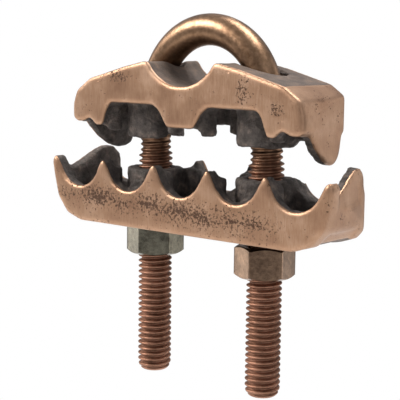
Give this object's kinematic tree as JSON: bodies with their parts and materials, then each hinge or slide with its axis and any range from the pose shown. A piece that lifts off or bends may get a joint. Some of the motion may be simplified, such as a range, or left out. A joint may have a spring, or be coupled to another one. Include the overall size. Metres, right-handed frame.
{
  "type": "earth rod clamp",
  "caption": "Clamp that joins earthing cables to an earth rod: a threaded U-bolt draws two toothed cast jaws together with hex nuts.",
  "frame": {"origin": "centre of the U-bend, midway between the legs", "axes": "+X across the two legs, +Y along the rod, +Z from the leg tips towards the bend"},
  "size_m": [0.098, 0.022, 0.1015],
  "materials": {
    "u_bolt": "copper-coloured plating over steel, satin",
    "upper_jaw": "cast bronze, ground on the outside faces and rough inside",
    "lower_jaw": "cast bronze, ground on the outside faces and rough inside",
    "left_nut": "plated, glossy",
    "right_nut": "plated, glossy"
  },
  "bodies": {
    "u_bolt": {"u_bolt": "u_bolt"},
    "upper_jaw": {"upper_jaw": "upper_jaw"},
    "lower_jaw": {"lower_jaw": "lower_jaw"},
    "left_nut": {"left_nut": "left_nut"},
    "right_nut": {"right_nut": "right_nut"}
  },
  "joints": [
    {"name": "upper_jaw_slide", "type": "slide", "parent": "u_bolt", "child": "upper_jaw", "axis": [0, 0, 1], "range_m": [-0.003, 0]},
    {"name": "lower_jaw_slide", "type": "slide", "parent": "u_bolt", "child": "lower_jaw", "axis": [0, 0, 1], "range_m": [0, 0.003]},
    {"name": "left_nut_travel", "type": "slide", "parent": "u_bolt", "child": "left_nut", "axis": [0, 0, 1], "range_m": [-0.03, 0]},
    {"name": "right_nut_travel", "type": "slide", "parent": "u_bolt", "child": "right_nut", "axis": [0, 0, 1], "range_m": [-0.03, 0.0015]}
  ]
}
